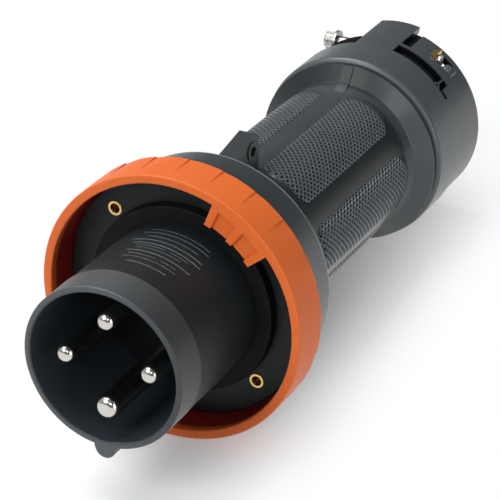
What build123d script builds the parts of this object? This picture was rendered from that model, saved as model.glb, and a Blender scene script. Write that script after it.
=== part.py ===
from build123d import *
import os
from math import cos, radians, sin

os.makedirs("parts", exist_ok=True)

# The plug lies along Y: rim of the sleeve at y = 0, cable end at +Y, key of the sleeve down.
# A clock angle is counted from the top (+Z) towards +X, as seen from the pins.

# Sleeve, face plate and contact carrier
sleeve_d = 71.0
sleeve_wall = 2.8
sleeve_length = 69.5
band_length = 16.0
band_step = 0.4
socket_depth = 56.0
rim_rounding = 0.6
key_width = 9.2
key_height = 5.3
plate_thickness = 2.5
carrier_step = 1.2
carrier_length = 20.0

# Pins and what holds them
pin_circle_d = 38.0
phase_pin_d = 8.0
earth_pin_d = 10.0
phase_recess = 1.8
earth_recess = 0.8
pin_tip_rounding = 3.2
pin_foot_step = 0.5
pin_shoulder_step = 3.0
pin_shoulder_length = 4.0
terminal_step = 1.5
terminal_length = 26.0
wire_hole_depth = 17.0
terminal_wall = 2.0
terminal_screw_d = 5.0
terminal_screw_inset = 7.0
pin_plate_thickness = 3.0
pin_plate_inset = 1.5
plate_screw_d = 4.0
plate_screw_head_d = 7.0
plate_screw_head_height = 2.4
plate_screw_length = 14.0
plate_screw_circle_d = 40.0
plate_screw_start = 45.0
plate_screw_count = 2

# Seals at the face
gasket_width = 6.2
gasket_thickness = 5.0
seal_thickness = 0.8
seal_width = 9.0

# Coupling ring
collar_space = 20.0
ring_wall = 4.0
ring_reach = 15.0
ring_lip_width = 4.9
ring_rounding = 0.7
grip_count = 24
grip_depth = 0.55
grip_length = 13.5
grip_flank = 15.0
lug_depth = 9.8
lug_thickness = 4.2
lug_start = 21.5
lug_sweep = 30.8
lug_border = 3.6
lug_pocket_depth = 1.3
lug_pocket_margin = 2.6

# Handle body
spigot_length = 2.0
flange_setback = 5.0
flange_taper = 2.7
flange_length = 24.0
flange_wall = 3.6
flange_edge_rounding = 1.4
shoulder_length = 12.0
shoulder_rounding = 7.0
handle_d = 68.8
handle_wall = 4.4
handle_length = 104.0
flare_neck_rise = 1.6
flare_neck_length = 6.0
flare_rise = 7.2
flare_length = 5.0
flare_rim = 0.6
pad_count = 6
pad_rise = 1.9
pad_curve_d = 40.2
pad_crown = 0.75
pad_front_gap = 13.0
pad_length = 93.0
pad_end_rounding = 4.0
groove_count = 6
groove_pitch = 14.0
groove_width = 1.6
groove_depth = 0.6
ear_thickness = 8.0
ear_length = 28.7
ear_front_z = 45.2
ear_top_z = 50.6
ear_nose = 1.8
ear_hole_d = 4.6
ear_hole_inset = 6.0
ear_hole_drop = 6.4
ear_rim_d = 8.2
ear_rim_height = 0.6
pointer_width = 5.0
pointer_height = 0.6

# Screws through the flange into brass sleeves
face_screw_inset = 4.2
face_screw_start = 45.0
face_screw_count = 4
brass_sleeve_d = 6.6
brass_sleeve_bore_d = 4.2
brass_sleeve_length = 12.8
brass_sleeve_proud = 0.4
face_screw_d = 4.0
face_screw_head_d = 7.8
face_screw_head_height = 2.6
face_screw_head_room = 1.1
face_screw_engagement = 5.0
cross_slot_width = 1.1
cross_slot_depth = 1.2
cross_slot_share = 0.62

# Gland
neck_rise = 3.6
neck_length = 19.8
gland_gap = 2.9
cap_wall = 6.2
cap_length = 21.5
cap_edge_rounding = 2.2
cap_end_wall = 3.0
cap_entry_d = 40.0
bush_bore_d = 26.0
bush_length = 17.5
bush_proud = 1.5
washer_thickness = 2.0
washer_bore_d = 28.0
washer_inset = 1.5

# Cable clamp behind the gland cap
skirt_step = 0.9
skirt_wall = 3.4
tongue_length = 33.0
tongue_half_angle = 12.8
strap_length = 26.0
notch_angle = 6.4
bridge_length = 2.0
slot_width = 9.0
slot_end_angle = 52.0
slot_tip_angle = 58.0
web_thickness = 0.9
web_angle = 47.5
web_fork_setback = 3.6
web_fork_angle = 32.0
web_arm_length = 5.4
jaw_inset = 0.6
jaw_bore_d = 42.0
jaw_length = 11.0
jaw_step = 8.0
jaw_step_length = 22.0
jaw_end_angle = 15.0
jaw_ear_height = 6.4
liner_start_angle = 2.0
liner_tail_angle = 20.0
clamp_screw_d = 5.0
clamp_screw_height = 34.0
clamp_screw_setback = 19.0
clamp_head_d = 8.0
clamp_head_height = 5.0
clamp_head_x = 27.0
clamp_washer_d = 10.0
clamp_washer_thickness = 1.2
hex_socket = 4.0
hex_socket_depth = 2.6
nut_flats = 7.2
nut_thickness = 3.2
nut_x = 22.0
nut_tip = 1.6
nut_seat_length = 10.4
nut_seat_thickness = 2.4
nut_pocket_length = 13.0
nut_pocket_height = 12.0
nut_pocket_rise = 2.0
nut_boss_d = 4.0
nut_boss_angle = 48.0

# Fits between pieces
seat_gap = 0.05
ring_gap = 0.3
lip_gap = 0.4
plate_gap = 0.9
slide_gap = 0.3

# Places along the axis
ring_front_y = sleeve_length - ring_reach
plate_back_y = sleeve_length + plate_thickness
body_front_y = plate_back_y + seal_thickness
flange_front_y = body_front_y + spigot_length
flange_rear_y = flange_front_y + flange_length
handle_front_y = flange_rear_y + shoulder_length
handle_rear_y = handle_front_y + handle_length
flare_front_y = handle_rear_y + flare_neck_length
flare_rear_y = flare_front_y + flare_length + flare_rim
neck_end_y = flare_rear_y + neck_length
bush_end_y = neck_end_y + bush_proud
wall_front_y = bush_end_y + washer_thickness
cap_front_y = flare_rear_y + gland_gap
cap_rear_y = cap_front_y + cap_length
wall_rear_y = wall_front_y + cap_end_wall
slot_rear_y = cap_rear_y + slot_width
strap_rear_y = cap_rear_y + strap_length
tongue_rear_y = cap_rear_y + tongue_length
screw_y = cap_rear_y + clamp_screw_setback
carrier_rear_y = plate_back_y + carrier_length
pin_plate_rear_y = carrier_rear_y + pin_plate_thickness

# Radii used by more than one piece
sleeve_r = sleeve_d / 2
sleeve_bore_r = sleeve_r - sleeve_wall
carrier_r = sleeve_bore_r - carrier_step
ring_inner_r = sleeve_r + collar_space
ring_r = ring_inner_r + ring_wall
lip_r = ring_inner_r - ring_lip_width
spigot_r = lip_r - lip_gap
plate_r = ring_inner_r - plate_gap
face_screw_r = spigot_r - face_screw_inset
flange_front_r = ring_r - flange_setback
flange_rear_r = flange_front_r - flange_taper
shoulder_r = face_screw_r - face_screw_head_d / 2 - face_screw_head_room
handle_r = handle_d / 2
handle_bore_r = handle_r - handle_wall
flare_neck_r = handle_r + flare_neck_rise
flare_r = flare_neck_r + flare_rise
neck_r = handle_r + neck_rise
cap_bore_r = neck_r + slide_gap
cap_r = cap_bore_r + cap_wall
skirt_r = cap_r - skirt_step
skirt_inner_r = skirt_r - skirt_wall
jaw_r = skirt_r - jaw_inset
ear_rear_y = flange_rear_y + ear_length


def turned(*corners):
    """Solid of revolution about Y; a corner is (radius, y) or (radius, y, edge rounding)."""
    face = make_face(Polyline(*[corner[:2] for corner in corners], close=True))
    for corner in corners:
        if len(corner) == 3:
            vertex = face.vertices().sort_by_distance((corner[0], corner[1], 0))[0]
            face = fillet(vertex, corner[2])
    return revolve(face, Axis.Y)


def sector(start, sweep, inner_r, outer_r, y0, y1):
    """Part of a ring about Y, from one clock angle on by a sweep in degrees."""
    face = make_face(Polyline((inner_r, y0), (outer_r, y0), (outer_r, y1), (inner_r, y1), close=True))
    return Rot(0, start - 90, 0) * revolve(face, Axis.Y, sweep)


def rod(diameter, y0, y1, radius=0.0, clock=0.0):
    """Cylinder along Y with its axis at a radius and clock angle."""
    x = radius * sin(radians(clock))
    z = radius * cos(radians(clock))
    return Pos(x, (y0 + y1) / 2, z) * Rot(90, 0, 0) * Cylinder(diameter / 2, y1 - y0)


def cross_rod(diameter, x0, x1, y, z):
    """Cylinder along X."""
    return Pos((x0 + x1) / 2, y, z) * Rot(0, 90, 0) * Cylinder(diameter / 2, x1 - x0)


def at_clock(part, clock):
    """Turns a part from the top to its clock angle."""
    return Rot(0, clock, 0) * part


def pin_places():
    """Name, clock angle, diameter and recess of each pin."""
    places = [(f"phase_pin_{i + 1}", 90 * (i - 1), phase_pin_d, phase_recess) for i in range(3)]
    return places + [("earth_pin", 180, earth_pin_d, earth_recess)]


def face_screw_clocks():
    """Clock angles of the screws through the flange."""
    return [face_screw_start + i * 360 / face_screw_count for i in range(face_screw_count)]


def sleeve():
    """Round sleeve with a step behind its front band and the polarising key along its bottom."""
    body = turned(
        (sleeve_bore_r, 0, rim_rounding),
        (sleeve_r, 0, rim_rounding),
        (sleeve_r, band_length),
        (sleeve_r - band_step, band_length + band_step),
        (sleeve_r - band_step, sleeve_length),
        (sleeve_bore_r, sleeve_length),
    )
    key_center_r = sleeve_r + key_height - key_width / 2
    key = rod(key_width, 0, sleeve_length - gasket_thickness, key_center_r, 180)
    foot_r = sleeve_r - sleeve_wall / 2
    foot = Pos(0, (sleeve_length - gasket_thickness) / 2, -(foot_r + key_center_r) / 2)
    root = foot * Box(key_width, sleeve_length - gasket_thickness, key_center_r - foot_r)
    body += fillet(key.edges().filter_by(GeomType.CIRCLE).sort_by(Axis.Y)[0], rim_rounding) + root
    return body - rod(2 * sleeve_bore_r, 0, sleeve_length)


def face_plate():
    """Round plate behind the sleeve with holes for the brass sleeves."""
    plate = turned(
        (carrier_r + seat_gap, sleeve_length),
        (plate_r, sleeve_length, rim_rounding),
        (plate_r, plate_back_y),
        (carrier_r + seat_gap, plate_back_y),
    )
    for clock in face_screw_clocks():
        plate -= rod(brass_sleeve_d + 2 * seat_gap, sleeve_length, plate_back_y, face_screw_r, clock)
    return plate


def contact_carrier():
    """Insulating block that closes the sleeve and carries the pins."""
    body = turned(
        (0, socket_depth),
        (sleeve_bore_r - seat_gap, socket_depth, rim_rounding),
        (sleeve_bore_r - seat_gap, sleeve_length),
        (carrier_r, sleeve_length),
        (carrier_r, carrier_rear_y),
        (0, carrier_rear_y),
    )
    for _, clock, diameter, _ in pin_places():
        hole_d = diameter + 2 * pin_foot_step + 2 * seat_gap
        body -= rod(hole_d, socket_depth, carrier_rear_y, pin_circle_d / 2, clock)
        seat_d = diameter + 2 * pin_shoulder_step + 2 * seat_gap
        seat_y = carrier_rear_y - pin_shoulder_length
        body -= rod(seat_d, seat_y, carrier_rear_y, pin_circle_d / 2, clock)
    for clock in plate_screw_clocks():
        hole_d = plate_screw_d + 2 * seat_gap
        hole_y = pin_plate_rear_y - plate_screw_length
        body -= rod(hole_d, hole_y, carrier_rear_y, plate_screw_circle_d / 2, clock)
    return body


def plate_screw_clocks():
    """Clock angles of the screws of the pin plate."""
    return [plate_screw_start + i * 360 / plate_screw_count for i in range(plate_screw_count)]


def contact_pin(diameter, recess):
    """Pin with a rounded tip, a shoulder and a wire terminal, at the top of the pin circle."""
    seat_y = carrier_rear_y - pin_shoulder_length
    terminal_r = diameter / 2 + terminal_step
    end_y = pin_plate_rear_y + terminal_length
    pin = turned(
        (0, recess),
        (diameter / 2, recess, pin_tip_rounding),
        (diameter / 2, socket_depth - pin_foot_step),
        (diameter / 2 + pin_foot_step, socket_depth),
        (diameter / 2 + pin_foot_step, seat_y),
        (diameter / 2 + pin_shoulder_step, seat_y),
        (diameter / 2 + pin_shoulder_step, carrier_rear_y),
        (terminal_r, carrier_rear_y),
        (terminal_r, end_y),
        (0, end_y),
    )
    pin -= rod(2 * (terminal_r - terminal_wall), end_y - wire_hole_depth, end_y)
    screw_hole = Cylinder(terminal_screw_d / 2 + seat_gap, 2 * terminal_r)
    pin -= Pos(0, end_y - terminal_screw_inset, terminal_r) * screw_hole
    return Pos(0, 0, pin_circle_d / 2) * pin


def terminal_screw(diameter):
    """Slotted screw across a terminal, at the top of the pin circle."""
    terminal_r = diameter / 2 + terminal_step
    y = pin_plate_rear_y + terminal_length - terminal_screw_inset
    screw = Cylinder(terminal_screw_d / 2, terminal_r)
    screw -= Pos(0, 0, terminal_r / 2) * Box(2 * terminal_screw_d, cross_slot_width, 2 * cross_slot_depth)
    return Pos(0, y, pin_circle_d / 2 + terminal_r) * screw


def pin_plate():
    """Plate that holds the shoulders of the pins in the carrier."""
    plate = rod(2 * (carrier_r - pin_plate_inset), carrier_rear_y, pin_plate_rear_y)
    for _, clock, diameter, _ in pin_places():
        hole_d = diameter + 2 * terminal_step + 2 * seat_gap
        plate -= rod(hole_d, carrier_rear_y, pin_plate_rear_y, pin_circle_d / 2, clock)
    for clock in plate_screw_clocks():
        hole_d = plate_screw_d + 2 * seat_gap
        plate -= rod(hole_d, carrier_rear_y, pin_plate_rear_y, plate_screw_circle_d / 2, clock)
    return plate


def cross_recess(y, head_d):
    """Cross slot cut into a screw head whose top is at y."""
    length = head_d * cross_slot_share
    slot = Box(length, cross_slot_depth, cross_slot_width)
    return Pos(0, y - cross_slot_depth / 2, 0) * (slot + Rot(0, 90, 0) * slot)


def rear_screw(diameter, tip_y, seat_y, head_d, head_height):
    """Pan-head screw along Y whose head sits on a face at seat_y and points to the rear."""
    top_y = seat_y + head_height
    screw = turned(
        (0, tip_y),
        (diameter / 2, tip_y, diameter / 8),
        (diameter / 2, seat_y),
        (head_d / 2, seat_y),
        (head_d / 2, top_y, head_height / 3),
        (0, top_y),
    )
    return screw - cross_recess(top_y, head_d)


def plate_screw(clock):
    """Screw that holds the pin plate to the carrier."""
    tip_y = pin_plate_rear_y - plate_screw_length
    screw = rear_screw(plate_screw_d, tip_y, pin_plate_rear_y, plate_screw_head_d, plate_screw_head_height)
    return at_clock(Pos(0, 0, plate_screw_circle_d / 2) * screw, clock)


def face_gasket():
    """Rubber ring round the foot of the sleeve."""
    return turned(
        (sleeve_r - band_step + seat_gap, sleeve_length - gasket_thickness),
        (sleeve_r + gasket_width, sleeve_length - gasket_thickness, rim_rounding),
        (sleeve_r + gasket_width, sleeve_length),
        (sleeve_r - band_step + seat_gap, sleeve_length),
    )


def body_seal():
    """Flat rubber seal between the face plate and the handle body."""
    seal = turned(
        (spigot_r - seal_width, plate_back_y),
        (spigot_r, plate_back_y),
        (spigot_r, body_front_y),
        (spigot_r - seal_width, body_front_y),
    )
    for clock in face_screw_clocks():
        seal -= rod(brass_sleeve_d + 2 * seat_gap, plate_back_y, body_front_y, face_screw_r, clock)
    return seal


def coupling_ring():
    """Bayonet ring with saw-shaped grips outside and two lugs inside."""
    rear_y = flange_front_y - ring_gap
    lip_front_y = plate_back_y + ring_gap
    ring = turned(
        (ring_inner_r, ring_front_y, ring_rounding),
        (ring_r, ring_front_y, ring_rounding),
        (ring_r, rear_y, ring_rounding),
        (lip_r, rear_y),
        (lip_r, lip_front_y),
        (ring_inner_r, lip_front_y),
    )
    grip_front_y = rear_y - grip_length
    for i in range(grip_count):
        ring -= at_clock(grip_cut(grip_front_y, rear_y), i * 360 / grip_count)
    for start in (lug_start, lug_start + 180):
        ring += bayonet_lug(start)
    return ring


def grip_cut(y0, y1):
    """Slanted flat at the top of the ring that ends in a step: nothing at y0, full depth at y1."""
    flank_width = ring_r * sin(radians(grip_flank))
    end_y = y1 + grip_depth
    face = make_face(Polyline(
        (y0, ring_r),
        (end_y, ring_r - grip_depth),
        (end_y, ring_r + grip_depth),
        (y0, ring_r + grip_depth),
        close=True,
    ))
    return extrude(Plane.YZ * face, flank_width)


def bayonet_lug(start):
    """Lug with two shallow pockets in its front face."""
    inner_r = ring_inner_r - lug_depth
    back_y = ring_front_y + lug_thickness
    lug = sector(start, lug_sweep, inner_r, ring_inner_r + ring_wall / 2, ring_front_y, back_y)
    pocket_sweep = (lug_sweep - 3 * lug_border) / 2
    pocket_outer_r = ring_inner_r - lug_pocket_margin / 2
    for i in range(2):
        pocket_start = start + lug_border + i * (pocket_sweep + lug_border)
        y1 = ring_front_y + lug_pocket_depth
        lug -= sector(pocket_start, pocket_sweep, inner_r - lug_border, pocket_outer_r, ring_front_y, y1)
    return lug


def handle_shell():
    """Hollow body of revolution: spigot, flange, handle, flare and threaded neck."""
    flange_inner_r = flange_rear_r - flange_wall
    return turned(
        (flange_inner_r, body_front_y),
        (spigot_r, body_front_y),
        (spigot_r, flange_front_y),
        (flange_front_r, flange_front_y, rim_rounding),
        (flange_rear_r, flange_rear_y, flange_edge_rounding),
        (shoulder_r, flange_rear_y),
        (handle_r, handle_front_y, shoulder_rounding),
        (handle_r, handle_rear_y),
        (flare_neck_r, flare_front_y, rim_rounding),
        (flare_r, flare_front_y + flare_length),
        (flare_r, flare_rear_y),
        (neck_r, flare_rear_y),
        (neck_r, neck_end_y, rim_rounding),
        (handle_bore_r, neck_end_y),
        (handle_bore_r, handle_front_y),
        (shoulder_r - flange_wall, flange_rear_y - flange_wall),
        (flange_inner_r, flange_rear_y - flange_wall),
    )


def grip_pad():
    """Pad at the top of the handle, crowned along and across it, with grooves that run round."""
    y0 = handle_front_y + pad_front_gap
    y1 = y0 + pad_length
    crest_r = pad_curve_d / 2
    end_r = crest_r - pad_crown
    crest = ThreePointArc((end_r, y0), (crest_r, (y0 + y1) / 2), (end_r, y1))
    face = make_face([crest, Polyline((end_r, y1), (0, y1), (0, y0), (end_r, y0))])
    face = fillet(face.vertices().group_by(Axis.X)[-1], pad_end_rounding)
    for i in range(groove_count):
        offset = (i - (groove_count - 1) / 2) * groove_pitch
        floor_r = crest_r - pad_crown * (2 * offset / pad_length) ** 2 - groove_depth
        groove = Rectangle(crest_r, groove_width, align=(Align.MIN, Align.CENTER))
        face -= Pos(floor_r, (y0 + y1) / 2 + offset) * groove
    crown = Pos(0, 0, handle_r + pad_rise - crest_r) * revolve(face, Axis.Y)
    return crown - rod(2 * (handle_r - handle_wall / 2), y0 - pad_end_rounding, y1 + pad_end_rounding)


def tether_ear():
    """Fin behind the flange with a rimmed cross hole."""
    y0 = flange_rear_y - flange_wall / 2
    base_z = handle_r - handle_wall / 2
    outline = make_face(Polyline(
        (y0, shoulder_r - flange_wall),
        (y0, ear_front_z),
        (ear_rear_y - ear_nose, ear_top_z),
        (ear_rear_y, ear_top_z - ear_nose),
        (ear_rear_y, base_z),
        (handle_front_y, base_z),
        close=True,
    ))
    fin = extrude(Plane.YZ * outline, ear_thickness / 2, both=True)
    hole_y = ear_rear_y - ear_hole_inset
    hole_z = ear_top_z - ear_hole_drop
    half = ear_thickness / 2 + ear_rim_height
    fin += cross_rod(ear_rim_d, -half, half, hole_y, hole_z)
    fin -= cross_rod(ear_hole_d, -half, half, hole_y, hole_z)
    return fin - handle_core()


def handle_core():
    """Outside of the flange and the handle, larger by the seat gap, to cut what sits on them."""
    return turned(
        (0, flange_front_y),
        (flange_front_r, flange_front_y),
        (flange_front_r, flange_rear_y + seat_gap),
        (shoulder_r + seat_gap, flange_rear_y + seat_gap),
        (handle_r + seat_gap, handle_front_y + seat_gap, shoulder_rounding),
        (handle_r + seat_gap, handle_rear_y),
        (0, handle_rear_y),
    )


def handle_body():
    """Handle with flange, grip pads and screw bosses."""
    body = handle_shell()
    boss_d = 2 * (spigot_r - face_screw_r)
    for clock in face_screw_clocks():
        body += rod(boss_d, body_front_y, flange_rear_y, face_screw_r, clock)
    pad = grip_pad()
    for i in range(pad_count):
        body += at_clock(pad, (i + 0.5) * 360 / pad_count)
    for clock in (0, 180):
        body += at_clock(flare_pointer(), clock)
    sleeve_end_y = sleeve_length - brass_sleeve_proud + brass_sleeve_length
    for clock in face_screw_clocks():
        body -= rod(brass_sleeve_d + 2 * seat_gap, body_front_y, sleeve_end_y, face_screw_r, clock)
        body -= rod(face_screw_d + 4 * seat_gap, sleeve_end_y, flange_rear_y, face_screw_r, clock)
        body -= rod(face_screw_head_d + 2 * slide_gap, flange_rear_y, handle_front_y, face_screw_r, clock)
    return body


def flare_pointer():
    """Small rib on the flare that marks the mould's parting line."""
    y0 = handle_rear_y
    y1 = flare_front_y + flare_length
    outline = make_face(Polyline(
        (y0, handle_r - pointer_height),
        (y0, handle_r),
        (flare_front_y, flare_neck_r + pointer_height),
        (y1 - pointer_height, flare_r),
        (y1, flare_r),
        (y1, handle_r - pointer_height),
        close=True,
    ))
    return extrude(Plane.YZ * outline, pointer_width / 2, both=True)


def brass_sleeve(clock):
    """Threaded brass sleeve in the face plate."""
    y0 = sleeve_length - brass_sleeve_proud
    y1 = y0 + brass_sleeve_length
    sleeve = turned(
        (brass_sleeve_bore_d / 2, y0, brass_sleeve_proud / 2),
        (brass_sleeve_d / 2, y0, brass_sleeve_proud / 2),
        (brass_sleeve_d / 2, y1),
        (brass_sleeve_bore_d / 2, y1),
    )
    return at_clock(Pos(0, 0, face_screw_r) * sleeve, clock)


def face_screw(clock):
    """Screw from behind the flange into a brass sleeve."""
    sleeve_end_y = sleeve_length - brass_sleeve_proud + brass_sleeve_length
    tip_y = sleeve_end_y - face_screw_engagement
    screw = rear_screw(face_screw_d, tip_y, flange_rear_y, face_screw_head_d, face_screw_head_height)
    return at_clock(Pos(0, 0, face_screw_r) * screw, clock)


def gland_bush():
    """Rubber bush that grips the cable in the neck."""
    y0 = bush_end_y - bush_length
    return turned(
        (bush_bore_d / 2, y0),
        (handle_bore_r - seat_gap - rim_rounding, y0, rim_rounding),
        (handle_bore_r - seat_gap, y0 + bush_length / 3),
        (handle_bore_r - seat_gap, bush_end_y),
        (bush_bore_d / 2, bush_end_y),
    )


def gland_washer():
    """Slip washer between the bush and the cap."""
    return turned(
        (washer_bore_d / 2, bush_end_y),
        (neck_r - washer_inset, bush_end_y),
        (neck_r - washer_inset, wall_front_y),
        (washer_bore_d / 2, wall_front_y),
    )


def cap_shell():
    """Turned form of the gland cap: collar, end wall and skirt."""
    return turned(
        (cap_bore_r, cap_front_y),
        (cap_r, cap_front_y, cap_edge_rounding),
        (cap_r, cap_rear_y, rim_rounding),
        (skirt_r, cap_rear_y),
        (skirt_r, tongue_rear_y, rim_rounding),
        (skirt_inner_r, tongue_rear_y),
        (skirt_inner_r, wall_rear_y),
        (cap_entry_d / 2, wall_rear_y),
        (cap_entry_d / 2, wall_front_y),
        (cap_bore_r, wall_front_y),
    )


def strap_cuts(side):
    """Cuts that part the strap from the tongue and the collar; side is +1 at the top, -1 at the bottom."""
    inner = cap_entry_d / 2
    outer = cap_r + skirt_wall
    notch_start = tongue_half_angle
    notch_y = slot_rear_y + bridge_length
    cuts = sector(notch_start, notch_angle, inner, outer, notch_y, tongue_rear_y + bridge_length)
    rest_start = notch_start + notch_angle / 2
    cuts += sector(rest_start, 90 - rest_start, inner, outer, strap_rear_y, tongue_rear_y + bridge_length)
    slot_inner = skirt_inner_r - seat_gap
    tip_y = cap_rear_y + slot_width / 3
    slot = sector(notch_start, slot_end_angle - notch_start, slot_inner, outer, cap_rear_y, slot_rear_y)
    slot += sector(notch_start, slot_tip_angle - notch_start, slot_inner, outer, cap_rear_y, tip_y)
    cuts += slot - at_clock(slot_web(), web_angle)
    return cuts if side > 0 else mirror(cuts, Plane.XY)


def slot_web():
    """Thin forked web left standing in the slot, drawn at the top."""
    fork_y = cap_rear_y + web_fork_setback
    stem_length = slot_width - web_fork_setback + web_thickness
    web = Pos(0, fork_y + stem_length / 2, skirt_r) * Box(web_thickness, stem_length, 2 * skirt_wall)
    arm = Pos(0, -web_arm_length / 2, 0) * Box(web_thickness, web_arm_length, 2 * skirt_wall)
    for tilt in (web_fork_angle, -web_fork_angle):
        web += Pos(0, fork_y, skirt_r) * Rot(0, 0, tilt) * arm
    return web


def gland_cap():
    """Screwed gland cap with the fixed half of the cable clamp."""
    cap = cap_shell()
    window_start = 180 + tongue_half_angle
    window_sweep = 180 - 2 * tongue_half_angle
    window_inner = skirt_inner_r - seat_gap
    window_end_y = tongue_rear_y + bridge_length
    cap -= sector(window_start, window_sweep, window_inner, cap_r + skirt_wall, cap_rear_y, window_end_y)
    for side in (1, -1):
        cap -= strap_cuts(side)
    seat = Box(nut_seat_thickness, nut_seat_length, nut_flats)
    pocket = Box(nut_pocket_length, nut_flats + 2 * slide_gap, nut_pocket_height)
    boss_r = skirt_inner_r + nut_boss_d / 2
    for side in (1, -1):
        z = side * clamp_screw_height
        cap += Pos(nut_x - nut_seat_thickness / 2, screw_y, z) * seat
        cap -= Pos(nut_x + nut_pocket_length / 2, screw_y, z + side * nut_pocket_rise) * pocket
        cap -= cross_rod(clamp_screw_d + 2 * slide_gap, 0, nut_x + nut_pocket_length, screw_y, z)
    return cap + rod(nut_boss_d, screw_y - nut_boss_d, screw_y + nut_boss_d / 2, boss_r, nut_boss_angle)


def clamp_jaw():
    """Loose half of the cable clamp, on the left, with a saddle under each of the two screws."""
    start = 180 + jaw_end_angle
    sweep = 180 - 2 * jaw_end_angle
    bore_r = jaw_bore_d / 2
    jaw = sector(start, sweep, bore_r, jaw_r, wall_rear_y, wall_rear_y + jaw_length)
    jaw += sector(start, sweep, bore_r, jaw_r - jaw_step, wall_rear_y, wall_rear_y + jaw_step_length)
    ear_x = clamp_head_x - clamp_washer_thickness
    ear = Box(ear_x - clamp_screw_d, clamp_head_d, jaw_ear_height)
    for side in (1, -1):
        z = side * clamp_screw_height
        jaw += Pos(-(ear_x + clamp_screw_d) / 2, screw_y, z - side * jaw_ear_height / 2) * ear
        jaw -= cross_rod(clamp_screw_d + 2 * slide_gap, -cap_r, 0, screw_y, z)
    return jaw


def clamp_liner():
    """Fixed half of the cable clamp, inside the strap on the right."""
    inner_r = jaw_bore_d / 2
    outer_r = skirt_inner_r - seat_gap
    sweep = 180 - 2 * liner_start_angle
    liner = sector(liner_start_angle, sweep, inner_r, outer_r, wall_rear_y, strap_rear_y - bridge_length)
    tail_y = tongue_rear_y - bridge_length
    for start in (liner_start_angle, 180 - liner_start_angle - liner_tail_angle):
        liner += sector(start, liner_tail_angle, inner_r, outer_r, wall_rear_y, tail_y)
    room_length = 2 * nut_flats
    room = Box(room_length, nut_seat_length + 2 * seat_gap, room_length)
    room_x = nut_x - nut_seat_thickness - seat_gap + room_length / 2
    for side in (1, -1):
        z = side * clamp_screw_height
        liner -= cross_rod(clamp_screw_d + 2 * slide_gap, 0, cap_r, screw_y, z)
        liner -= Pos(room_x, screw_y, z + side * nut_pocket_rise) * room
    return liner


def clamp_screw(z):
    """Socket-head clamp screw along X with its head on the left."""
    seat_x = -clamp_head_x
    end_x = nut_x + nut_thickness + nut_tip
    screw = cross_rod(clamp_screw_d, seat_x, end_x, screw_y, z)
    head = cross_rod(clamp_head_d, seat_x - clamp_head_height, seat_x, screw_y, z)
    screw += fillet(head.edges().filter_by(GeomType.CIRCLE).sort_by(Axis.X)[0], clamp_head_height / 8)
    socket = extrude(Plane.YZ * RegularPolygon(hex_socket / 2, 6, major_radius=False), hex_socket_depth)
    return screw - Pos(seat_x - clamp_head_height, screw_y, z) * socket


def clamp_nut(z):
    """Square brass nut in the pocket of the strap."""
    nut = Pos(nut_x + nut_thickness / 2, screw_y, z) * Box(nut_thickness, nut_flats, nut_flats)
    return nut - cross_rod(clamp_screw_d + 2 * seat_gap, nut_x, nut_x + nut_thickness, screw_y, z)


def clamp_washer(z):
    """Plain washer under the head of a clamp screw."""
    x0 = -clamp_head_x
    x1 = x0 + clamp_washer_thickness
    washer = cross_rod(clamp_washer_d, x0, x1, screw_y, z)
    return washer - cross_rod(clamp_screw_d + 2 * seat_gap, x0, x1, screw_y, z)


nodes = {
    "sleeve": sleeve(),
    "face_plate": face_plate(),
    "contact_carrier": contact_carrier(),
    "face_gasket": face_gasket(),
    "body_seal": body_seal(),
    "coupling_ring": coupling_ring(),
    "pin_plate": pin_plate(),
    "handle_body": handle_body(),
    "tether_ear": tether_ear(),
    "gland_bush": gland_bush(),
    "gland_washer": gland_washer(),
    "gland_cap": gland_cap(),
    "clamp_jaw": clamp_jaw(),
    "clamp_liner": clamp_liner(),
}
for name, clock, diameter, recess in pin_places():
    nodes[name] = at_clock(contact_pin(diameter, recess), clock)
    nodes[name.replace("_pin", "_terminal_screw")] = at_clock(terminal_screw(diameter), clock)
for i, clock in enumerate(plate_screw_clocks()):
    nodes[f"pin_plate_screw_{i + 1}"] = plate_screw(clock)
for i, clock in enumerate(face_screw_clocks()):
    nodes[f"brass_sleeve_{i + 1}"] = brass_sleeve(clock)
    nodes[f"flange_screw_{i + 1}"] = face_screw(clock)
for place, side in (("upper", 1), ("lower", -1)):
    z = side * clamp_screw_height
    nodes[f"clamp_screw_{place}"] = clamp_screw(z)
    nodes[f"clamp_nut_{place}"] = clamp_nut(z)
    nodes[f"clamp_washer_{place}"] = clamp_washer(z)

for name, part in nodes.items():
    part.label = name
    export_step(part, f"parts/{name}.step")
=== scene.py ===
import bpy
import math
from mathutils import Matrix, Vector


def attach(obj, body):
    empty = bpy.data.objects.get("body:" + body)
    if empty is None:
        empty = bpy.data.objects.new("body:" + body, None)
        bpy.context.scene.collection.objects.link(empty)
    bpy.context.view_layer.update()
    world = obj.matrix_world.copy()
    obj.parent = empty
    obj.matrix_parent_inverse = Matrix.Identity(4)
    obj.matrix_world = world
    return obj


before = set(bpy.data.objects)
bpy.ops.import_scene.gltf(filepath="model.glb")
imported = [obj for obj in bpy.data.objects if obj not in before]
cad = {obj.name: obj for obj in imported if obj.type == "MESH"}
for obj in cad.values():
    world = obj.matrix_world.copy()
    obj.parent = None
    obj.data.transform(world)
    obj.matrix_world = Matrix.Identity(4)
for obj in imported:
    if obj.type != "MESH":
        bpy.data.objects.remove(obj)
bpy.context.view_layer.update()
scene = bpy.context.scene
scene.view_settings.view_transform = "Standard"
print("frame loaded:", len(cad), "nodes")


# camera, long lens from the front right

cameraLook = {
    "place": (0.45567, -0.76037, 0.50139),
    "right": (0.8936, 0.4488, 0.0),
    "up": (-0.2090, 0.4161, 0.8850),
    "lens": 187.2,
    "sensor": 36.0,
    "nearClip": 0.05,
    "shift": (-0.0412, 0.0735),
}


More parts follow.
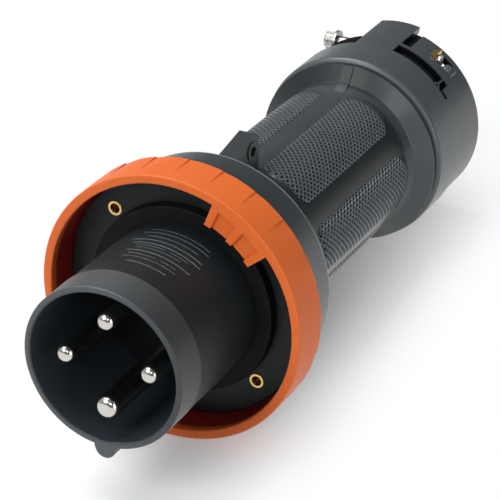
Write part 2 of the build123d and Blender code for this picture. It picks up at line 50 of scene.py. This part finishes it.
def addCamera(look):
    right = Vector(look["right"]).normalized()
    up = Vector(look["up"])
    up = (up - right * up.dot(right)).normalized()
    back = right.cross(up)
    camData = bpy.data.cameras.new("photoCamera")
    camData.lens = look["lens"]
    camData.sensor_width = look["sensor"]
    camData.shift_x, camData.shift_y = look["shift"]
    camData.clip_start = look["nearClip"]
    camera = bpy.data.objects.new("photoCamera", camData)
    turn = Matrix((right, up, back)).transposed().to_4x4()
    camera.matrix_world = Matrix.Translation(look["place"]) @ turn
    scene.collection.objects.link(camera)
    scene.camera = camera


addCamera(cameraLook)
print("camera set")


# node helpers for studio and finishes

def rampFrom(tree, value, stops):
    ramp = tree.nodes.new("ShaderNodeValToRGB")
    elements = ramp.color_ramp.elements
    while len(elements) < len(stops):
        elements.new(0.5)
    for element, (place, color) in zip(elements, stops):
        element.position = place
        element.color = (*color, 1.0)
    tree.links.new(value, ramp.inputs["Fac"])
    return ramp.outputs["Color"]


def rangeFrom(tree, value, fromRange, toRange, blend="LINEAR"):
    mapped = tree.nodes.new("ShaderNodeMapRange")
    mapped.interpolation_type = blend
    mapped.inputs["From Min"].default_value, mapped.inputs["From Max"].default_value = fromRange
    mapped.inputs["To Min"].default_value, mapped.inputs["To Max"].default_value = toRange
    tree.links.new(value, mapped.inputs["Value"])
    return mapped.outputs["Result"]


def joinValues(tree, operation, first, second):
    both = tree.nodes.new("ShaderNodeMath")
    both.operation = operation
    tree.links.new(first, both.inputs[0])
    tree.links.new(second, both.inputs[1])
    return both.outputs[0]


def mixShaders(tree, share, first, second, output):
    mix = tree.nodes.new("ShaderNodeMixShader")
    tree.links.new(share, mix.inputs["Fac"])
    tree.links.new(first.outputs[0], mix.inputs[1])
    tree.links.new(second.outputs[0], mix.inputs[2])
    tree.links.new(mix.outputs[0], tree.nodes[output].inputs["Surface"])


# studio: pale floor under ring and cap, soft lamps from above and from the front

studioLook = {
    "floorSize": 6.0,
    "restFront": (0.0, 0.061, -0.0596),   # under the ring
    "restRear": (0.0, 0.250, -0.0446),    # under the gland cap
    "skyFrom": (-0.75, -0.20, 0.62),      # bright side of the room
    "skyStops": ((0.0, 0.05), (0.50, 0.12), (0.75, 0.30), (1.0, 0.80)),
    "skyLevel": 0.6,
    "floorWhite": (0.10, 1.0),            # share of plain white seen under the plug and far off
    "floorFade": (0.005, 0.080),          # distance from the plug where it goes from one to the other
    "floorMiddle": 0.13,                  # place along the plug that the distance counts from
    "floorAlong": 0.2,                    # share of the distance along the plug that counts
    "floorTone": (0.93, 0.95, 0.97),      # tone that the camera sees
    "floorBounce": (0.70, 0.70, 0.70),    # tone that lights the plug from below
    "floorRoughness": 0.9,
    "floorSpecular": 0.1,
    "plainWhite": (1.0, 1.0, 1.0, 1.0),
    "lamps": (                            # name, place, target, size, watts
        ("overhead", (-0.55, 0.05, 1.25), (0.0, 0.12, 0.0), 1.0, 16.0),
        ("frontTop", (-0.45, -1.10, 0.85), (0.0, 0.10, 0.0), 0.8, 11.0),
        ("rightLow", (1.10, -0.25, 0.15), (0.0, 0.12, 0.0), 0.9, 5.2),
        ("cameraSide", (0.50, -1.00, 0.64), (0.0, 0.15, 0.0), 0.3, 2.2),
    ),
}


def lookAlong(place, target):
    return (Vector(target) - Vector(place)).to_track_quat("-Z", "Y").to_euler()


def addLamps(look):
    for name, place, target, size, power in look["lamps"]:
        lampData = bpy.data.lights.new(name, "AREA")
        lampData.shape = "DISK"
        lampData.size = size
        lampData.energy = power
        lamp = bpy.data.objects.new(name, lampData)
        lamp.location = place
        lamp.rotation_euler = lookAlong(place, target)
        scene.collection.objects.link(lamp)


def addWorld(look):
    world = bpy.data.worlds.new("studioWorld")
    world.use_nodes = True
    scene.world = world
    tree = world.node_tree
    coord = tree.nodes.new("ShaderNodeTexCoord")
    facing = tree.nodes.new("ShaderNodeVectorMath")
    facing.operation = "DOT_PRODUCT"
    facing.inputs[1].default_value = Vector(look["skyFrom"]).normalized()
    tree.links.new(coord.outputs["Generated"], facing.inputs[0])
    side = rangeFrom(tree, facing.outputs["Value"], (-1.0, 1.0), (0.0, 1.0))
    stops = [(place, (level, level, level)) for place, level in look["skyStops"]]
    background = tree.nodes["Background"]
    background.inputs["Strength"].default_value = look["skyLevel"]
    tree.links.new(rampFrom(tree, side, stops), background.inputs["Color"])
    backdrop = tree.nodes.new("ShaderNodeBackground")   # seen where the camera looks past the floor
    backdrop.inputs["Color"].default_value = look["plainWhite"]
    path = tree.nodes.new("ShaderNodeLightPath")
    mixShaders(tree, path.outputs["Is Camera Ray"], background, backdrop, "World Output")


def whiteShare(tree, look):
    # share of plain white on the floor, by distance from the plug
    coord = tree.nodes.new("ShaderNodeTexCoord")
    around = tree.nodes.new("ShaderNodeVectorMath")
    around.operation = "MULTIPLY_ADD"
    around.inputs[1].default_value = (1.0, look["floorAlong"], 0.0)
    around.inputs[2].default_value = (0.0, -look["floorAlong"] * look["floorMiddle"], 0.0)
    away = tree.nodes.new("ShaderNodeVectorMath")
    away.operation = "LENGTH"
    tree.links.new(coord.outputs["Object"], around.inputs[0])
    tree.links.new(around.outputs["Vector"], away.inputs[0])
    return rangeFrom(tree, away.outputs["Value"], look["floorFade"], look["floorWhite"], "SMOOTHSTEP")


def floorFinish(look):
    mat = bpy.data.materials.new("paleFloor")
    mat.use_nodes = True
    tree = mat.node_tree
    shader = tree.nodes["Principled BSDF"]
    shader.inputs["Roughness"].default_value = look["floorRoughness"]
    shader.inputs["Specular IOR Level"].default_value = look["floorSpecular"]
    path = tree.nodes.new("ShaderNodeLightPath")
    tone = tree.nodes.new("ShaderNodeMix")
    tone.data_type = "RGBA"
    tone.inputs["A"].default_value = (*look["floorBounce"], 1.0)
    tone.inputs["B"].default_value = (*look["floorTone"], 1.0)
    tree.links.new(path.outputs["Is Camera Ray"], tone.inputs["Factor"])
    tree.links.new(tone.outputs["Result"], shader.inputs["Base Color"])
    glow = tree.nodes.new("ShaderNodeEmission")
    glow.inputs["Color"].default_value = look["plainWhite"]
    seen = joinValues(tree, "MULTIPLY", path.outputs["Is Camera Ray"], whiteShare(tree, look))
    mirrored = joinValues(tree, "MAXIMUM", path.outputs["Is Glossy Ray"],
                          path.outputs["Is Transmission Ray"])
    mixShaders(tree, joinValues(tree, "MAXIMUM", seen, mirrored), shader, glow, "Material Output")
    return mat


def addFloor(look):
    front, rear = Vector(look["restFront"]), Vector(look["restRear"])
    tilt = math.atan2(rear.z - front.z, rear.y - front.y)
    middle = (front + rear) / 2
    bpy.ops.object.select_all(action="DESELECT")
    bpy.ops.mesh.primitive_plane_add(size=look["floorSize"], location=middle, rotation=(tilt, 0, 0))
    floor = bpy.context.object
    floor.name = "studioFloor"
    bpy.ops.object.transform_apply(location=True, rotation=True, scale=True)
    floor.data.materials.append(floorFinish(look))


addLamps(studioLook)
addWorld(studioLook)
addFloor(studioLook)
print("studio set")


# finishes: clouded colour with a fine grain, and zones with a tint and gloss of their own, several of
# them painted shade or painted highlight

grainLook = {
    "cloudNoise": (4.0, 0.55),      # detail and roughness of each noise
    "plasticNoise": (3.0, 0.6),
    "metalNoise": (2.0, 0.5),
    "span": (0.3, 0.7),             # part of the noise that spreads over a finish
    "plasticDepth": 0.00012,
    "metalDepth": 0.00005,
}


def startFinish(name):
    mat = bpy.data.materials.new(name)
    mat.use_nodes = True
    tree = mat.node_tree
    coord = tree.nodes.new("ShaderNodeTexCoord")
    return mat, tree, tree.nodes["Principled BSDF"], coord.outputs["Object"]


def noiseFrom(tree, vector, scale, detail, roughness):
    noise = tree.nodes.new("ShaderNodeTexNoise")
    noise.inputs["Scale"].default_value = scale
    noise.inputs["Detail"].default_value = detail
    noise.inputs["Roughness"].default_value = roughness
    tree.links.new(vector, noise.inputs["Vector"])
    return noise.outputs["Fac"]


def cloudColor(tree, noise, look):
    low, high = grainLook["span"]
    return rampFrom(tree, noise, ((low, look["dark"]), (high, look["light"])))


def bumpInto(tree, shader, height, strength, distance):
    bump = tree.nodes.new("ShaderNodeBump")
    bump.inputs["Strength"].default_value = strength
    bump.inputs["Distance"].default_value = distance
    tree.links.new(height, bump.inputs["Height"])
    tree.links.new(bump.outputs["Normal"], shader.inputs["Normal"])


def stepMask(tree, vector, kind, start, end):
    # 0 at start, 1 at end: along the plug, across it or out from its axis
    if kind != "out":
        parts = tree.nodes.new("ShaderNodeSeparateXYZ")
        tree.links.new(vector, parts.inputs[0])
        value = parts.outputs["Y" if kind == "along" else "X"]
        return rangeFrom(tree, value, (start, end), (0.0, 1.0))
    flat = tree.nodes.new("ShaderNodeVectorMath")
    flat.operation = "MULTIPLY"
    flat.inputs[1].default_value = (1.0, 0.0, 1.0)
    length = tree.nodes.new("ShaderNodeVectorMath")
    length.operation = "LENGTH"
    tree.links.new(vector, flat.inputs[0])
    tree.links.new(flat.outputs["Vector"], length.inputs[0])
    return rangeFrom(tree, length.outputs["Value"], (start, end), (0.0, 1.0))


def zoneMask(tree, vector, steps):
    mask = stepMask(tree, vector, *steps[0])
    for step in steps[1:]:
        mask = joinValues(tree, "MULTIPLY", mask, stepMask(tree, vector, *step))
    return mask


def mixColor(tree, mask, first, second):
    mix = tree.nodes.new("ShaderNodeMix")
    mix.data_type = "RGBA"
    tree.links.new(mask, mix.inputs["Factor"])
    tree.links.new(first, mix.inputs["A"])
    mix.inputs["B"].default_value = (*second, 1.0)
    return mix.outputs["Result"]


def mixValue(tree, mask, first, second):
    # first is a plain number, or what an earlier zone gave
    mix = tree.nodes.new("ShaderNodeMix")
    tree.links.new(mask, mix.inputs["Factor"])
    if isinstance(first, float):
        mix.inputs["A"].default_value = first
    else:
        tree.links.new(first, mix.inputs["A"])
    mix.inputs["B"].default_value = second
    return mix.outputs["Result"]


def mouldedPlastic(name, look):
    mat, tree, shader, vector = startFinish(name)
    cloud = noiseFrom(tree, vector, look["cloudScale"], *grainLook["cloudNoise"])
    grain = noiseFrom(tree, vector, look["grainScale"], *grainLook["plasticNoise"])
    color = cloudColor(tree, cloud, look)
    shine = look["gloss"]
    shader.inputs["Specular IOR Level"].default_value = shine
    for tint, gloss, steps in look.get("zones", ()):
        mask = zoneMask(tree, vector, steps)
        color = mixColor(tree, mask, color, tint)
        shine = mixValue(tree, mask, shine, gloss)
    tree.links.new(color, shader.inputs["Base Color"])
    if "zones" in look:
        tree.links.new(shine, shader.inputs["Specular IOR Level"])
    tree.links.new(rangeFrom(tree, grain, grainLook["span"], look["rough"]), shader.inputs["Roughness"])
    bumpInto(tree, shader, grain, look["grain"], grainLook["plasticDepth"])
    return mat


def metalFinish(name, look):
    mat, tree, shader, vector = startFinish(name)
    stain = noiseFrom(tree, vector, look["stainScale"], *grainLook["cloudNoise"])
    wear = noiseFrom(tree, vector, look["grainScale"], *grainLook["metalNoise"])
    tree.links.new(cloudColor(tree, stain, look), shader.inputs["Base Color"])
    tree.links.new(rangeFrom(tree, wear, grainLook["span"], look["rough"]), shader.inputs["Roughness"])
    shader.inputs["Metallic"].default_value = 1.0
    bumpInto(tree, shader, wear, look["grain"], grainLook["metalDepth"])
    return mat


finishLooks = {   # a zone is a tint, its gloss, and the steps from none to full that bound it
    "greyHandle": {"dark": (0.033, 0.043, 0.047), "light": (0.042, 0.053, 0.058), "rough": (0.28, 0.40),
                   "gloss": 0.6, "cloudScale": 24.0, "grainScale": 2600.0, "grain": 0.25,
                   "zones": (
                       ((0.017, 0.021, 0.023), 0.45,   # painted shade on the strips between the pads, towards the right side
                        (("out", 0.0356, 0.0346), ("along", 0.112, 0.124), ("along", 0.219, 0.215),
                         ("across", 0.006, 0.020))),
                       ((0.017, 0.021, 0.023), 0.30,   # painted shade on the flare, fading out towards the right side
                        (("along", 0.2180, 0.2205), ("across", 0.0215, 0.0120))),
                       ((0.034, 0.042, 0.046), 0.6,    # plain flange
                        (("out", 0.0500, 0.0515), ("along", 0.1000, 0.0990))),
                       ((0.21, 0.23, 0.24), 0.6,       # painted highlight along the rear edge of the flange
                        (("out", 0.0500, 0.0510), ("along", 0.0966, 0.0976))),
                   )},
    "greyGrip": {"dark": (0.082, 0.098, 0.106), "light": (0.098, 0.116, 0.125), "rough": (0.28, 0.40),
                 "gloss": 0.5, "cloudScale": 24.0, "grainScale": 2600.0, "grain": 0.2},
    # the handle grey made darker for the tether ear: painted shade
    "earGreyPaintedShade": {"dark": (0.018, 0.022, 0.024), "light": (0.023, 0.028, 0.031), "rough": (0.32, 0.44),
                "gloss": 0.5, "cloudScale": 24.0, "grainScale": 2600.0, "grain": 0.25},
    "darkSleeve": {"dark": (0.009, 0.013, 0.015), "light": (0.012, 0.017, 0.019), "rough": (0.40, 0.54),
                   "gloss": 0.32, "cloudScale": 30.0, "grainScale": 2600.0, "grain": 0.2,
                   "zones": (
                       ((0.026, 0.031, 0.034), 0.6,    # front band
                        (("along", 0.0165, 0.0161),)),
                       ((0.058, 0.066, 0.070), 0.6,    # front band with a painted sheen, lighter towards the left side
                        (("along", 0.0165, 0.0161), ("across", 0.030, 0.000))),
                       ((0.024, 0.032, 0.040), 0.45,   # blue-black inside
                        (("out", 0.0338, 0.0330),)),
                   )},
    "greyCap": {"dark": (0.060, 0.073, 0.078), "light": (0.070, 0.084, 0.090), "rough": (0.28, 0.40),
                "gloss": 0.6, "cloudScale": 24.0, "grainScale": 2600.0, "grain": 0.25,
                "zones": (
                    ((0.058, 0.068, 0.073), 0.6,       # plain strap
                     (("along", 0.2506, 0.2509),)),
                    ((0.004, 0.004, 0.005), 0.06,      # painted shade on the inner walls of the slots and the nut pocket
                     (("out", 0.0434, 0.0429), ("along", 0.2460, 0.2475), ("along", 0.2772, 0.2768))),
                )},
    "darkPlate": {"dark": (0.009, 0.012, 0.014), "light": (0.013, 0.016, 0.018), "rough": (0.40, 0.55),
                  "gloss": 0.25, "cloudScale": 30.0, "grainScale": 2600.0, "grain": 0.2},
    "blackInside": {"dark": (0.006, 0.007, 0.009), "light": (0.010, 0.011, 0.013), "rough": (0.38, 0.5),
                    "gloss": 0.35, "cloudScale": 30.0, "grainScale": 2000.0, "grain": 0.2},
    "blackJaw": {"dark": (0.003, 0.003, 0.004), "light": (0.005, 0.005, 0.006), "rough": (0.6, 0.75),
                 "gloss": 0.06, "cloudScale": 30.0, "grainScale": 2000.0, "grain": 0.2},
    "orangeRing": {"dark": (0.66, 0.130, 0.026), "light": (0.72, 0.150, 0.032), "rough": (0.40, 0.54),
                   "gloss": 0.22, "cloudScale": 20.0, "grainScale": 2400.0, "grain": 0.18,
                   "zones": (
                       ((0.26, 0.018, 0.014), 0.15,    # painted shade on the inner wall, in deep red
                        (("out", 0.0560, 0.0556), ("along", 0.0572, 0.0590))),
                   )},
    "sealRubber": {"dark": (0.004, 0.004, 0.005), "light": (0.007, 0.007, 0.008), "rough": (0.55, 0.72),
                   "gloss": 0.15, "cloudScale": 40.0, "grainScale": 1800.0, "grain": 0.3},
    "palePrint": {"dark": (0.20, 0.21, 0.21), "light": (0.26, 0.27, 0.27), "rough": (0.5, 0.65),
                  "gloss": 0.3, "cloudScale": 200.0, "grainScale": 2400.0, "grain": 0.1},
    "faintPrint": {"dark": (0.045, 0.050, 0.052), "light": (0.13, 0.135, 0.138), "rough": (0.5, 0.65),
                   "gloss": 0.3, "cloudScale": 900.0, "grainScale": 2400.0, "grain": 0.1},
    # near-black copy of the grip plastic for the pit floors: painted shade in the pits
    "paintedPitShade": {"dark": (0.004, 0.005, 0.006), "light": (0.007, 0.008, 0.009), "rough": (0.6, 0.75),
                 "gloss": 0.25, "cloudScale": 30.0, "grainScale": 2400.0, "grain": 0.2},
}
metalLooks = {
    "nickelPin": {"dark": (0.62, 0.60, 0.56), "light": (0.70, 0.68, 0.64), "rough": (0.16, 0.22),
                  "stainScale": 40.0, "grainScale": 900.0, "grain": 0.05},
    "yellowBrass": {"dark": (0.62, 0.42, 0.15), "light": (0.80, 0.58, 0.24), "rough": (0.18, 0.32),
                    "stainScale": 160.0, "grainScale": 1500.0, "grain": 0.1},
    "zincSteel": {"dark": (0.30, 0.29, 0.28), "light": (0.41, 0.40, 0.38), "rough": (0.30, 0.44),
                  "stainScale": 120.0, "grainScale": 1500.0, "grain": 0.1},
}
finishes = {name: mouldedPlastic(name, look) for name, look in finishLooks.items()}
finishes.update({name: metalFinish(name, look) for name, look in metalLooks.items()})


def dressNode(node, finish):
    slots = cad[node].data.materials
    slots.clear()
    slots.append(finishes[finish])


nodeFinish = {
    "sleeve": "darkSleeve", "face_plate": "darkPlate", "contact_carrier": "blackInside",
    "face_gasket": "sealRubber", "body_seal": "sealRubber", "coupling_ring": "orangeRing",
    "pin_plate": "blackInside", "handle_body": "greyHandle", "tether_ear": "earGreyPaintedShade",
    "gland_bush": "sealRubber", "gland_washer": "blackInside", "gland_cap": "greyCap",
    "clamp_jaw": "blackJaw", "clamp_liner": "blackInside", "earth_pin": "nickelPin",
}
for node in cad:
    finish = nodeFinish.get(node, "zincSteel")   # screws and washers
    if node.startswith("phase_pin"):
        finish = "nickelPin"
    if node.startswith(("brass_sleeve", "clamp_nut")):
        finish = "yellowBrass"
    dressNode(node, finish)
print("finishes on", len(cad), "nodes")


# knurled sheets on the grip pads, crossed ridges with square pits

gripSheet = {
    "pitchAround": 0.00297,
    "pitchAlong": 0.00306,
    "centre": 0.1686,        # place along the handle
    "halfLength": 0.0427,
    "halfWidth": 0.0134,     # measured round the handle
    "corner": 0.0050,
    "ridge": 0.00062,        # height of the ridges over the pad
    "pit": 0.00006,          # height of the pit floors
    "flatWidth": 0.00021,    # flat half of a ridge, then its slope
    "slopeWidth": 0.00018,
    "fade": 0.0012,          # width of the soft border
    "backing": 0.0004,       # thickness of the sheet
    "merge": 0.00002,        # corners closer than this become one
    "spareWidth": 0.034,     # grid to start from, past the sheet's length
    "spareCells": 4,
    "overhang": 0.0004,      # cells with their middle further out are cut away
    "pitMark": -1.0,         # height that marks the pit floors until the sheet is laid
    "pitBelow": -0.75,       # what lies lower is pit floor
    "count": 6,
}
padShape = {                 # crowned pad under each sheet
    "centre": 0.1703,
    "halfLength": 0.0465,
    "crest": 0.0363,         # highest radius from the axis
    "curve": 0.0201,         # radius of the cross curve
    "crown": 0.00075,        # drop from the middle to the ends
    "endRadius": 0.004,
    "endShare": 0.98,        # part of the end radius that is followed
    "handle": 0.0344,        # bare handle
}


def padCurve(y, pad):
    # radius of the pad's cross curve at a place along the handle
    along = y - pad["centre"]
    sweep = (pad["halfLength"] ** 2 + pad["crown"] ** 2) / (2 * pad["crown"])
    radius = pad["curve"] - (sweep - math.sqrt(sweep ** 2 - along ** 2))
    past = abs(along) - (pad["halfLength"] - pad["endRadius"])
    if past > 0:
        past = min(past, pad["endRadius"] * pad["endShare"])
        radius -= pad["endRadius"] - math.sqrt(pad["endRadius"] ** 2 - past ** 2)
    return radius


def padHeight(angle, y, pad):
    # radius of pad or handle, whichever stands out, at an angle from the pad's middle
    radius = padCurve(y, pad)
    offset = pad["crest"] - pad["curve"]
    side = offset * math.sin(angle)
    return max(pad["handle"], offset * math.cos(angle) + math.sqrt(radius ** 2 - side ** 2))


def outlineDepth(x, y, look):
    # how far a point lies inside the sheet's outline
    side = look["halfWidth"] - abs(x)
    end = look["halfLength"] - abs(y)
    corner = look["corner"]
    if side < corner and end < corner:
        return corner - math.hypot(corner - side, corner - end)
    return min(side, end)


def pullInside(x, y, look):
    # brings a point past the outline back onto it
    side = look["halfWidth"]
    y = max(-look["halfLength"], min(look["halfLength"], y))
    x = max(-side, min(side, x))
    corner = look["corner"]
    overX, overY = abs(x) - (side - corner), abs(y) - (look["halfLength"] - corner)
    past = math.hypot(overX, overY)
    if overX > 0 and overY > 0 and past > corner:
        x = math.copysign(side - corner + overX * corner / past, x)
        y = math.copysign(look["halfLength"] - corner + overY * corner / past, y)
    return x, y


def makeGripSheet(look, pad):
    edge = math.hypot(look["pitchAround"], look["pitchAlong"]) / 2
    cells = int((look["spareWidth"] + 2 * look["halfLength"]) / edge) + look["spareCells"]
    cells += cells % 2
    bpy.ops.object.select_all(action="DESELECT")
    bpy.ops.mesh.primitive_grid_add(x_subdivisions=cells, y_subdivisions=cells, size=1.0)
    sheet = bpy.context.object
    bpy.ops.object.mode_set(mode="EDIT")
    bpy.ops.mesh.select_all(action="SELECT")
    bpy.ops.transform.rotate(value=math.pi / 4, orient_axis="Z", center_override=(0, 0, 0))
    reach = cells / math.sqrt(2)
    bpy.ops.transform.resize(value=(look["pitchAround"] * reach, look["pitchAlong"] * reach, 1),
                             center_override=(0, 0, 0))
    bpy.ops.mesh.select_all(action="DESELECT")
    bpy.ops.object.mode_set(mode="OBJECT")
    for face in sheet.data.polygons:   # cells outside the outline go
        face.select = outlineDepth(face.center.x, face.center.y, look) < -look["overhang"]
    bpy.ops.object.mode_set(mode="EDIT")
    bpy.ops.mesh.delete(type="FACE")
    bpy.ops.mesh.select_all(action="SELECT")
    bpy.ops.mesh.inset(thickness=look["flatWidth"], depth=0, use_individual=True)
    bpy.ops.mesh.inset(thickness=look["slopeWidth"], depth=0, use_individual=True)
    bpy.ops.transform.translate(value=(0, 0, look["pitMark"]))   # pit floors are still selected
    bpy.ops.mesh.select_all(action="DESELECT")
    bpy.ops.object.mode_set(mode="OBJECT")
    sheet.data.materials.append(finishes["greyGrip"])
    sheet.data.materials.append(finishes["paintedPitShade"])
    # pit floors take the near-black finish, painted shade in the pits
    for face in sheet.data.polygons:
        face.material_index = 1 if face.center.z < look["pitBelow"] else 0
    for vert in sheet.data.vertices:   # lay it on the crowned pad, softer to the border
        low = vert.co.z < look["pitBelow"]
        x, y = pullInside(vert.co.x, vert.co.y, look)
        inside = max(0.0, min(1.0, outlineDepth(x, y, look) / look["fade"]))
        ease = inside * inside * (3 - 2 * inside)   # smooth step
        height = look["pit"] if low else look["pit"] + (look["ridge"] - look["pit"]) * ease
        angle = x / pad["crest"]
        radius = padHeight(angle, y + look["centre"], pad) + height
        vert.co = (radius * math.sin(angle), y + look["centre"], radius * math.cos(angle))
    bpy.ops.object.mode_set(mode="EDIT")
    bpy.ops.mesh.select_all(action="SELECT")
    bpy.ops.mesh.remove_doubles(threshold=look["merge"])
    bpy.ops.mesh.dissolve_degenerate(threshold=look["merge"])
    bpy.ops.mesh.select_all(action="DESELECT")
    bpy.ops.object.mode_set(mode="OBJECT")
    backing = sheet.modifiers.new("backing", "SOLIDIFY")   # goes down into the pad
    backing.thickness = look["backing"]
    backing.offset = -1.0
    bpy.ops.object.modifier_apply(modifier="backing")
    return sheet


def turnAbout(obj, angle):
    bpy.ops.object.select_all(action="DESELECT")
    obj.select_set(True)
    bpy.context.view_layer.objects.active = obj
    obj.rotation_euler = (0, angle, 0)
    bpy.ops.object.transform_apply(location=True, rotation=True, scale=True)


def copyPiece(obj, name):
    twin = obj.copy()
    twin.data = obj.data.copy()
    twin.name = name
    scene.collection.objects.link(twin)
    return twin


firstSheet = makeGripSheet(gripSheet, padShape)
for i in range(gripSheet["count"]):
    sheet = copyPiece(firstSheet, "gripSheet%d" % (i + 1))
    turnAbout(sheet, math.radians((i + 0.5) * 360 / gripSheet["count"]))
    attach(sheet, "plug")
bpy.data.objects.remove(firstSheet, do_unlink=True)
print("grip sheets laid:", gripSheet["count"])


# domed post beside the clamp nut, and knurls on the heads of the clamp screws

postLook = {
    "size": (0.0021, 0.0034, 0.0022),
    "along": 0.2690,
    "out": 0.0424,
    "foot": 0.0408,          # flat below this
    "clock": 44.5,
    "segments": 32,
    "rings": 16,
    "smooth": 40,
}
knurlLook = {
    "along": 0.2698,
    "middle": -0.0294,
    "height": 0.034,
    "length": 0.0040,
    "crest": 0.00424,
    "root": 0.00398,
    "teeth": 36,
    "points": 4,             # round each tooth
    "crestPoints": 2,        # on the crest, the rest in the root
}


def addPost(look):
    bpy.ops.object.select_all(action="DESELECT")
    bpy.ops.mesh.primitive_uv_sphere_add(segments=look["segments"], ring_count=look["rings"], radius=1.0)
    post = bpy.context.object
    post.name = "nutPost"
    post.scale = look["size"]
    post.location = (0, look["along"], look["out"])
    bpy.ops.object.transform_apply(location=True, rotation=True, scale=True)
    bpy.ops.object.mode_set(mode="EDIT")
    bpy.ops.mesh.select_all(action="SELECT")
    bpy.ops.mesh.bisect(plane_co=(0, 0, look["foot"]), plane_no=(0, 0, 1),
                        use_fill=True, clear_inner=True)
    bpy.ops.object.mode_set(mode="OBJECT")
    turnAbout(post, math.radians(look["clock"]))
    bpy.ops.object.shade_smooth_by_angle(angle=math.radians(look["smooth"]))
    post.data.materials.append(finishes["greyGrip"])
    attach(post, "plug")


def addKnurl(name, side, look):
    z = side * look["height"]
    points = look["points"] * look["teeth"]
    bpy.ops.object.select_all(action="DESELECT")
    bpy.ops.mesh.primitive_cylinder_add(vertices=points, radius=look["crest"], depth=look["length"],
                                        location=(look["middle"], look["along"], z),
                                        rotation=(0, math.pi / 2, 0))
    knurl = bpy.context.object
    knurl.name = name
    bpy.ops.object.transform_apply(location=True, rotation=True, scale=True)
    step = 2 * math.pi / points
    for vert in knurl.data.vertices:
        y, height = vert.co.y - look["along"], vert.co.z - z
        place = round(math.atan2(height, y) / step) % look["points"]
        radius = look["crest"] if place < look["crestPoints"] else look["root"]
        share = radius / math.hypot(y, height)
        vert.co.y, vert.co.z = look["along"] + y * share, z + height * share
    knurl.data.materials.append(finishes["zincSteel"])
    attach(knurl, "plug")


addPost(postLook)
addKnurl("headKnurlUpper", 1, knurlLook)
addKnurl("headKnurlLower", -1, knurlLook)
print("post and knurls added")


# thin pale lines printed on the sleeve, three long rules with shorter rows between them

printLook = {                # rules and rows: place along, start angle, sweep, width
    "radius": 0.03513,       # a hair over the sleeve
    "thickness": 0.00004,
    "rules": ((0.0465, -20, 55, 0.00026), (0.0435, -16, 52, 0.00026), (0.0363, -14, 48, 0.00026)),
    "rows": ((0.0560, -12, 44, 0.0006), (0.0532, -16, 50, 0.0006), (0.0498, -10, 38, 0.0006),
             (0.0414, -12, 22, 0.0005), (0.0414, 14, 14, 0.0005), (0.0392, -10, 34, 0.0005),
             (0.0334, -10, 20, 0.0005), (0.0334, 14, 12, 0.0005), (0.0308, -12, 40, 0.0005),
             (0.0268, -6, 30, 0.0007)),
}


def printLine(look, finish, y, start, sweep, width):
    # strip bent round the sleeve, from one clock angle on
    bpy.ops.object.select_all(action="DESELECT")
    bpy.ops.mesh.primitive_grid_add(x_subdivisions=sweep, y_subdivisions=1, size=1.0)
    line = bpy.context.object
    for vert in line.data.vertices:
        clock = math.radians(start + (vert.co.x + 0.5) * sweep)
        radius = look["radius"]
        vert.co = (radius * math.sin(clock), y + vert.co.y * width, radius * math.cos(clock))
    bpy.ops.object.mode_set(mode="EDIT")
    bpy.ops.mesh.select_all(action="SELECT")
    bpy.ops.mesh.solidify(thickness=look["thickness"])
    bpy.ops.mesh.normals_make_consistent(inside=False)
    bpy.ops.object.mode_set(mode="OBJECT")
    line.data.materials.append(finishes[finish])
    return line


lines = [printLine(printLook, "palePrint", *rule) for rule in printLook["rules"]]
lines += [printLine(printLook, "faintPrint", *row) for row in printLook["rows"]]
bpy.ops.object.select_all(action="DESELECT")
for line in lines:
    line.select_set(True)
bpy.context.view_layer.objects.active = lines[0]
bpy.ops.object.join()
sleevePrint = bpy.context.object
sleevePrint.name = "sleevePrint"
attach(sleevePrint, "plug")
print("print lines on the sleeve:", len(lines))
